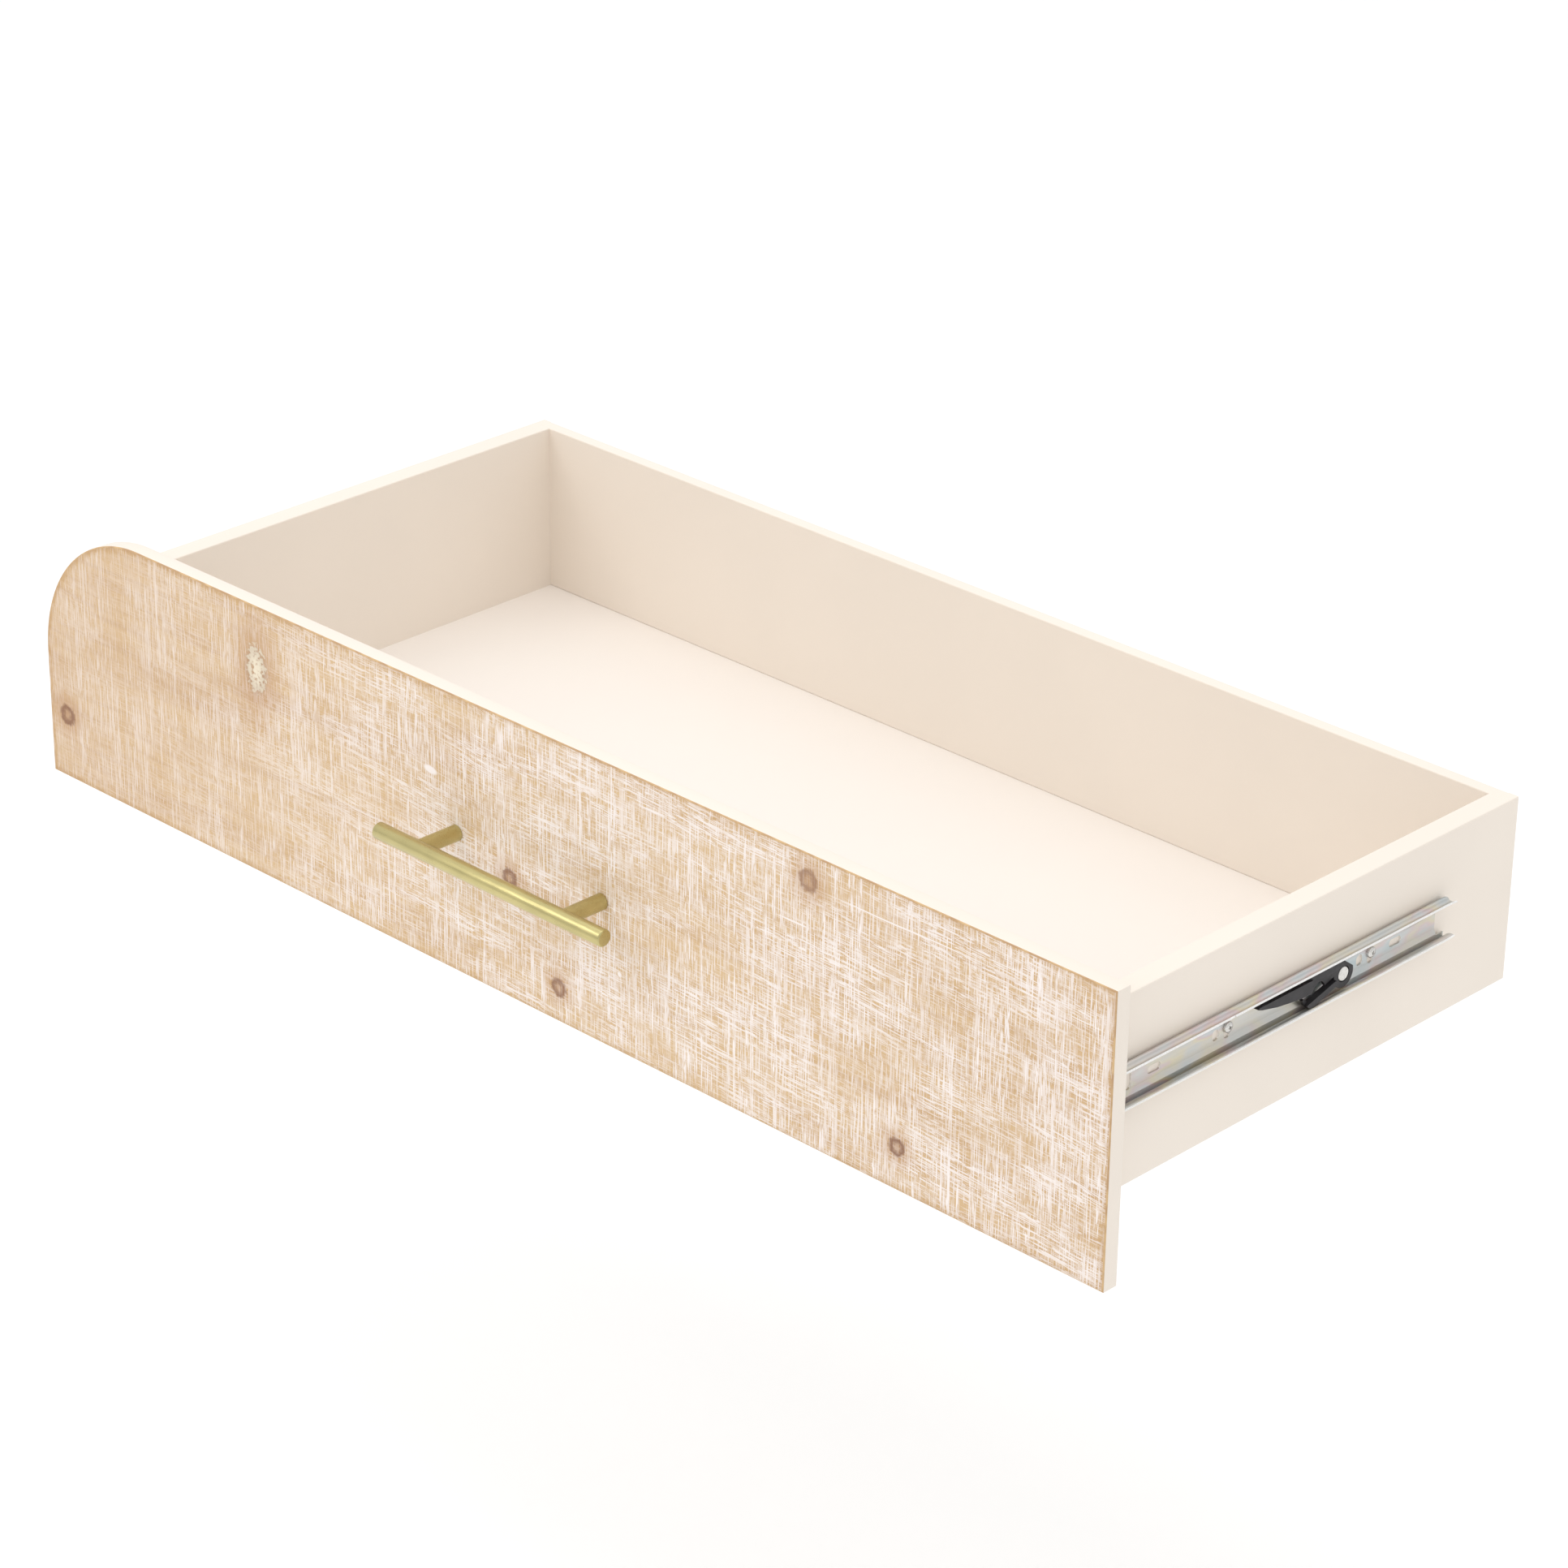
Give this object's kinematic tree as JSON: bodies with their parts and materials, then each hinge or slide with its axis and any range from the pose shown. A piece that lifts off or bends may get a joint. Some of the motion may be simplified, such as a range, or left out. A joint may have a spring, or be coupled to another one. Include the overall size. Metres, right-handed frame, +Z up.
{
  "type": "cabinet drawer with ball-bearing slide members",
  "caption": "Wide wooden drawer: whitewashed front with one round corner, bar handle, painted box, and steel slide members with release levers.",
  "frame": {"origin": "under the middle of the drawer's width and depth, handle included, level with the lower edge of the front panel", "axes": "+X to the drawer's right as seen from its front, +Y from the handle to the back of the box (the drawer pulls out along -Y), +Z up"},
  "size_m": [0.93, 0.4135, 0.188],
  "materials": {
    "pine": "rough-sawn pine with a dry-brushed whitewash",
    "cream_paint": "satin cream paint on fibreboard",
    "cream_floor": "satin cream foil on thin fibreboard",
    "beech": "plain fluted beech dowel",
    "brass": "satin brass",
    "zinc_plate": "zinc-plated and passivated sheet steel with a faint rainbow tint",
    "zinc_screw": "bright zinc-plated steel",
    "black_nylon": "moulded black nylon"
  },
  "bodies": {
    "drawer": {"front_panel": "pine", "inner_front": "cream_paint", "left_side": "cream_paint", "right_side": "cream_paint", "back_panel": "cream_paint", "bottom_panel": "cream_floor", "corner_dowels": "beech", "front_panel_screws": "zinc_screw", "back_panel_brads": "zinc_screw", "bottom_panel_brads": "zinc_screw", "handle_bar": "brass", "handle_post_left": "brass", "handle_post_right": "brass", "handle_screws": "zinc_screw", "slide_member_left": "zinc_plate", "slide_member_right": "zinc_plate", "slide_screws_left": "zinc_screw", "slide_screws_right": "zinc_screw", "lever_rivet_left": "zinc_screw", "lever_rivet_right": "zinc_screw"},
    "release_lever_left": {"release_lever_left": "black_nylon", "lever_spring_left": "black_nylon"},
    "release_lever_right": {"release_lever_right": "black_nylon", "lever_spring_right": "black_nylon"}
  },
  "joints": [
    {"name": "right_lever_press", "type": "hinge", "parent": "drawer", "child": "release_lever_right", "pos_m": [0.455, 0.04075, 0.118], "axis": [1, 0, 0], "range_deg": [0, 6], "stiffness_Nm_per_rad": 0.3, "springref_deg": -3.44, "deforming": ["lever_spring_right"]},
    {"name": "left_lever_lift", "type": "hinge", "parent": "drawer", "child": "release_lever_left", "pos_m": [-0.388, 0.04075, 0.118], "axis": [1, 0, 0], "range_deg": [-6, 0], "stiffness_Nm_per_rad": 0.3, "springref_deg": 3.44, "deforming": ["lever_spring_left"]}
  ]
}
